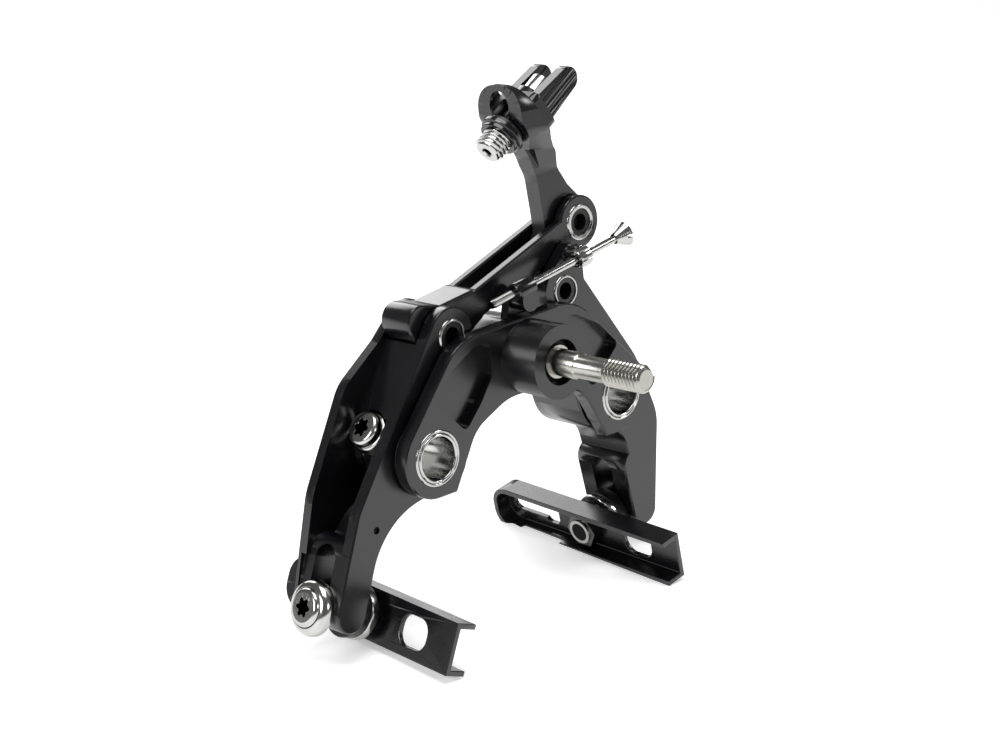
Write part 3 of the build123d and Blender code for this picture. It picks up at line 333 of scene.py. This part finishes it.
# %% [markdown]
# New pieces are turned from half an outline, as on a lathe: a line of points, each a radius and a
# height, is spun once round the axis. The helper then welds the seam and points the faces outwards.

# %% Lathe and placing helpers
ROUND_STEPS = 64


def spun(bm, profile, steps=ROUND_STEPS):
    """Adds a turned solid to a bmesh from points of radius and height in millimetres."""
    points = [bm.verts.new((r * MM, 0, h * MM)) for r, h in profile]
    edges = [bm.edges.new(pair) for pair in zip(points, points[1:])]
    bmesh.ops.spin(bm, geom=points + edges, cent=(0, 0, 0), axis=(0, 0, 1), dvec=(0, 0, 0),
                   angle=2 * math.pi, steps=steps, use_merge=True)


def helix(bm, r, depth, pitch, start, turns, steps=32):
    """Adds a thread: one tooth's closed outline is carried up a screw line, and both ends are capped."""
    outline = [(r - depth - 0.1, 0.04), (r - depth, 0.08), (r - 0.03, 0.43), (r, 0.47), (r, 0.53),
               (r - 0.03, 0.57), (r - depth, 0.92), (r - depth - 0.1, 0.96)]
    points = [bm.verts.new((x * MM, 0, (start + h * pitch) * MM)) for x, h in outline]
    edges = [bm.edges.new(pair) for pair in zip(points, points[1:] + points[:1])]
    made = bmesh.ops.spin(bm, geom=points + edges, cent=(0, 0, 0), axis=(0, 0, 1),
                          dvec=(0, 0, pitch * MM / steps), angle=2 * math.pi * turns,
                          steps=steps * turns)
    last = [g for g in made["geom_last"] if isinstance(g, bmesh.types.BMEdge)]
    for rim in (edges, last):
        bmesh.ops.contextual_create(bm, geom=rim)


def open_edges(mesh):
    """How many edges have one face only, which is none in a closed piece."""
    uses = {}
    for polygon in mesh.polygons:
        for key in polygon.edge_keys:
            uses[key] = uses.get(key, 0) + 1
    return sum(1 for count in uses.values() if count == 1)


def finish_piece(name, bm, place, body, node, material, smooth_angle=35):
    """Makes a placed object of a bmesh, which stands for a node of the frame or adds to a body."""
    bmesh.ops.remove_doubles(bm, verts=bm.verts, dist=0.001 * MM)
    bmesh.ops.recalc_face_normals(bm, faces=bm.faces)
    bmesh.ops.transform(bm, matrix=place, verts=bm.verts)
    for face in bm.faces:
        face.smooth = True
    mesh = bpy.data.meshes.new(name)
    bm.to_mesh(mesh)
    bm.free()
    mesh.set_sharp_from_angle(angle=math.radians(smooth_angle))
    thing = bpy.data.objects.new(name, mesh)
    bpy.context.scene.collection.objects.link(thing)
    dress(thing, material)
    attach(thing, body)
    if node:
        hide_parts(node)
    print(name, "faces:", len(mesh.polygons), "open edges:", open_edges(mesh))
    return thing


def axis_place(point, axis):
    """The place whose Z runs along an axis from a point."""
    turned = Vector(axis).normalized().to_track_quat("Z", "Y").to_matrix().to_4x4()
    return Matrix.Translation(point) @ turned


# %% [markdown]
# The mounting stud is a stepped steel screw: a collar in the boss's recess, a plain shank for the fork
# crown's hole, a thinner neck and a metric M6 thread, whose crests stand 1 mm apart. The stepped body is
# turned, and the thread is a real screw surface, because its crests are the brightest detail of the
# photograph.

# %% Mounting stud
STUD_BODY = ((0, 15.2), (3.4, 15.2), (3.5, 15.1), (3.5, 3.2), (3.75, 3.2), (3.75, 1.0), (3.6, 0.8),
             (2.95, 0.8), (2.95, -5.6), (2.78, -5.9), (2.6, -6.2), (2.6, -13.1), (2.5, -13.4),
             (2.5, -23.9), (2.1, -24.3), (0, -24.3))

bm = bmesh.new()
helix(bm, 3.0, 0.5, 1.0, 13.4, 10)
spun(bm, [(r, -h) for r, h in STUD_BODY])
stud_finish = turned_metal("zinc_plated_steel_stud", (0, 0, 0), (0, 1, 0), ZINC, 0.22, 0.35)
finish_piece("stepped_stud", bm, axis_place((0, 0, 0), (0, -1, 0)), "frame", "mounting_stud",
             stud_finish)

# %% [markdown]
# The adjuster's barrel is a short silver screw with a hole for the cable through it and a coarse thread.
# Its end is chamfered, so a rider's fingers find the hole.

# %% Adjuster barrel
barrel_joint = joints["adjuster_turn"]
barrel_axis = Vector(barrel_joint["axis"])
barrel_place = axis_place(barrel_joint["pos_m"], barrel_axis)
BARREL_CORE = ((0.95, 7.1), (2.2, 7.1), (2.35, 6.95), (2.35, -1.5), (2.9, -1.6), (2.9, -7.0),
               (2.6, -7.3), (1.25, -7.3), (0.95, -7.0), (0.95, 7.1))

bm = bmesh.new()
helix(bm, 3.4, 0.5, 1.0, -7.2, 4)
spun(bm, BARREL_CORE)
barrel_finish = turned_metal("polished_steel_barrel", barrel_joint["pos_m"], barrel_axis,
                             STAINLESS, 0.14, 0.3)
finish_piece("slotted_barrel", bm, barrel_place, "adjuster", "adjuster_barrel", barrel_finish)

# %% [markdown]
# The ring nut behind the barrel is a plain black ring with a step: a narrower shoulder towards the lever and
# a wider flange towards the barrel. It is turned from one outline, and each corner gets a small chamfer,
# because a chamfer catches the light as a thin bright circle.

# %% Ring nut
RING_NUT = ((3.42, -3.2), (4.3, -3.2), (4.45, -3.05), (4.45, -2.3), (4.9, -2.1), (5.0, -1.95), (5.0, -1.15),
            (4.85, -1.0), (3.42, -1.0), (3.42, -3.2))

bm = bmesh.new()
spun(bm, RING_NUT)
finish_piece("stepped_ring_nut", bm, barrel_place, "adjuster", "lock_ring", anodised_small,
             30)

# %% [markdown]
# The centring screw is thin and long, and its slotted cone takes a screwdriver or a fingertip. Its solid
# already has the right cone and slot. Only the fine thread at its tip is new: a screw surface like the
# stud's, that rides on the screw where it leaves the swivel block.

# %% Centring screw's thread
screw_joint = joints["centring_screw_turn"]
screw_axis = Vector(screw_joint["axis"])
screw_place = axis_place(screw_joint["pos_m"], screw_axis)

bm = bmesh.new()
helix(bm, 0.98, 0.16, 0.5, -9.3, 11, 20)
screw_finish = turned_metal("stainless_centring_screw", screw_joint["pos_m"], screw_axis,
                            STAINLESS, 0.12, 0.25)
finish_piece("centring_screw_thread", bm, screw_place, "centring_screw", None, screw_finish)
dress(nodes["centring_screw"], screw_finish)

# %% [markdown]
# Every other node keeps its solid and gets its own finish. The big forgings share one anodised skin, and
# each turned part gets lathe marks round its own axis.

# %% Finishes of the carried-over pieces
ARM_AXIS = (0, 1, 0)
FORGED = ("bridge", "left_arm", "right_arm", "link", "upright", "pad_holder_left", "pad_holder_right")
for name in FORGED:
    dress(nodes[name], anodised)
    round_edges(nodes[name], 0 if name == "right_arm" else ARM_EDGE)
for name in ("cable_stop", "centring_block"):
    dress(nodes[name], anodised_small)
    round_edges(nodes[name], SMALL_EDGE)

cable_axis = barrel_joint["axis"]
holder_axes = {"left": joints["left_pad_tilt"]["axis"], "right": joints["right_pad_tilt"]["axis"]}
bright = [("left_top_ring", ARM_AXIS), ("right_top_ring", ARM_AXIS), ("link_pin_ring", ARM_AXIS),
          ("block_pin", ARM_AXIS), ("housing_ferrule", cable_axis), ("screw_guide", screw_axis)]
dark = [("left_top_pin", ARM_AXIS), ("right_top_pin", ARM_AXIS), ("link_pin", ARM_AXIS),
        ("stop_washer", cable_axis)]
# The socket's radius and the tops below which a bolt's socket gets painted shade.
SOCKET_RADIUS = 2.2
ANCHOR_SOCKET_TOP = 12.3
PAD_SOCKET_TOP = 7.05
ANCHOR_TURN = math.radians(36.5)
anchor_axis = (-math.cos(ANCHOR_TURN), 0, math.sin(ANCHOR_TURN))
pivot = joints["left_arm_pivot"]["pos_m"]
anchor_centre = (pivot[0], middle("anchor_bolt")[1], pivot[2])
bright += [("anchor_clamp", anchor_axis)]
sockets = [("anchor_bolt", anchor_centre, anchor_axis, (SOCKET_RADIUS, ANCHOR_SOCKET_TOP))]
sockets += [(f"pad_bolt_{side}", joints[f"{side}_pad_tilt"]["pos_m"], holder_axes[side],
             (SOCKET_RADIUS, PAD_SOCKET_TOP)) for side in ("left", "right")]
for side in ("left", "right"):
    bright += [(f"pivot_sleeve_{side}", ARM_AXIS), (f"pivot_bush_{side}", ARM_AXIS)]
    dark += [(f"sleeve_cap_{side}", ARM_AXIS), (f"thrust_washer_{side}", ARM_AXIS)]
    dark += [(f"{part}_{side}", holder_axes[side]) for part in ("cup_washer", "ball_washer")]
    bright += [(f"{part}_{side}", holder_axes[side]) for part in ("dome_washer", "steel_ring")]
    nut = f"pad_nut_{side}"
    dress(nodes[nut], turned_metal(f"dull_nut_{side}", middle(nut), holder_axes[side],
                                   DULL_STEEL, 0.32, 0.3))
    bright += [(f"return_spring_{side}", ARM_AXIS)]
for name, axis in bright:
    dress(nodes[name], turned_metal(f"stainless_{name}", middle(name), axis, STAINLESS, 0.14, 0.3))
    round_edges(nodes[name], SMALL_EDGE)
for name, centre, axis, socket in sockets:
    dress(nodes[name], turned_metal(f"stainless_{name}", centre, axis, STAINLESS, 0.16, 0.3,
                                    socket=socket))
    round_edges(nodes[name], SMALL_EDGE)
for name, axis in dark:
    dress(nodes[name], turned_metal(f"black_oxide_{name}", middle(name), axis, BLACK_OXIDE,
                                    0.3, 0.3, 0.0))
    round_edges(nodes[name], SMALL_EDGE)
print("bright pieces:", len(bright), "bolts with sockets:", len(sockets), "dark pieces:", len(dark))

# %% [markdown]
# Last, the view layer is brought up to date.

# %% The end
bpy.context.view_layer.update()
